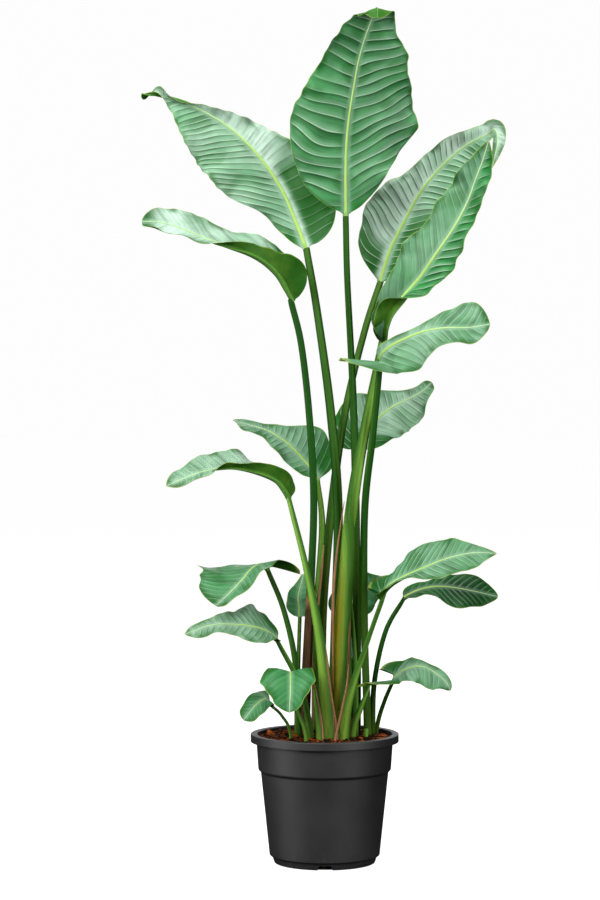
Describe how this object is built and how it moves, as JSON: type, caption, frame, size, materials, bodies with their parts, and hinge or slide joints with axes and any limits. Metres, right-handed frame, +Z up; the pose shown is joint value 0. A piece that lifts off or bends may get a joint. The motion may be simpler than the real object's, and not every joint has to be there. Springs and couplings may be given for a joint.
{
  "type": "potted bird of paradise",
  "caption": "Tall bird of paradise plant in a plain nursery pot: broad paddle leaves on long arching stalks that rise from one clump in bark soil.",
  "frame": {"origin": "centre of the pot's flat underside, on the surface that it stands on", "axes": "+Z up along the pot's axis and the plant's height, -Y towards the side seen from the front, +X to that viewer's right"},
  "size_m": [0.6745, 0.3025, 1.5438],
  "materials": {
    "pot": "satin",
    "soil": "matte",
    "blade": "satin",
    "stalk": "satin",
    "sheath": "matte"
  },
  "bodies": {
    "root": {"pot": "pot", "soil": "soil", "stem_crown": "stalk", "leaf_crown": "blade", "stem_left_high": "stalk", "leaf_left_high": "blade", "stem_left_reach": "stalk", "leaf_left_reach": "blade", "stem_right_back": "stalk", "leaf_right_back": "blade", "stem_right_front": "stalk", "leaf_right_front": "blade", "stem_right_mid": "stalk", "leaf_right_mid": "blade", "stem_back_mid": "stalk", "leaf_back_mid": "blade", "stem_left_mid": "stalk", "leaf_left_mid": "blade", "stem_left_arch": "stalk", "leaf_left_arch": "blade", "stem_left_bowed": "stalk", "leaf_left_bowed": "blade", "stem_left_low": "stalk", "leaf_left_low": "blade", "stem_front_small": "stalk", "leaf_front_small": "blade", "stem_left_small": "stalk", "leaf_left_small": "blade", "stem_right_low": "stalk", "leaf_right_low": "blade", "stem_right_under": "stalk", "leaf_right_under": "blade", "stem_right_small": "stalk", "leaf_right_small": "blade", "stem_back_left": "stalk", "leaf_back_left": "blade", "stem_back_low": "stalk", "leaf_back_low": "blade", "sheath_left": "sheath", "sheath_right": "sheath", "spear": "stalk", "stub": "sheath"}
  },
  "joints": []
}
